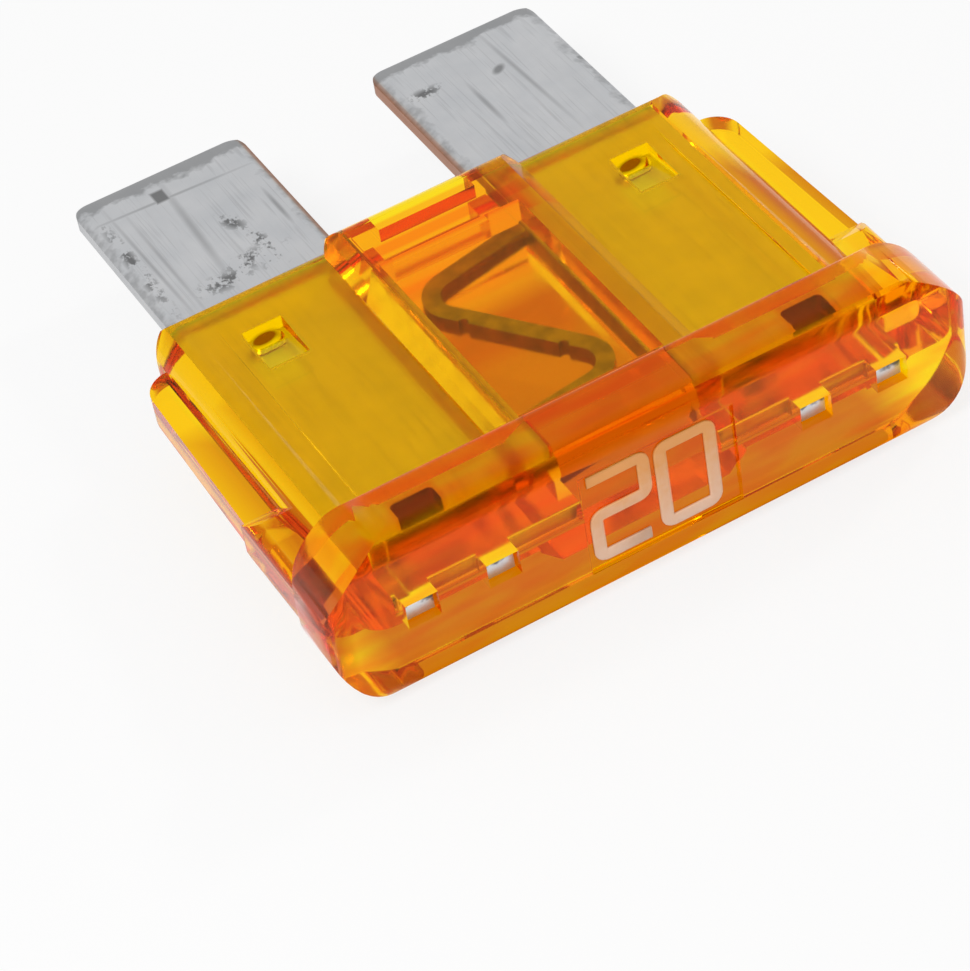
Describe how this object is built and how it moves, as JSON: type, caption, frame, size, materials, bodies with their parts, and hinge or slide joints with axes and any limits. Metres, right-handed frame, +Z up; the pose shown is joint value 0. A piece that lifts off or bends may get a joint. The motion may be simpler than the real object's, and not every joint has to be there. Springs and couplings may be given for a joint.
{
  "type": "automotive blade fuse",
  "caption": "Regular-size automotive blade fuse: clear amber one-piece housing round a flat stamped metal element with its blades and an S-shaped link.",
  "frame": {"origin": "middle of the bounding box seen from above, on the plane that the back of the head rests on", "axes": "+X across both blades, +Y from the head to the blade tips, +Z up through the thickness, out of the face shown in the picture"},
  "size_m": [0.0186, 0.019, 0.0051],
  "materials": {
    "clear_amber": "glossy clear amber, moulded",
    "plated_zinc": "dull stamped metal with scratches"
  },
  "bodies": {
    "root": {"housing": "clear_amber", "fuse_element": "plated_zinc"}
  },
  "joints": []
}
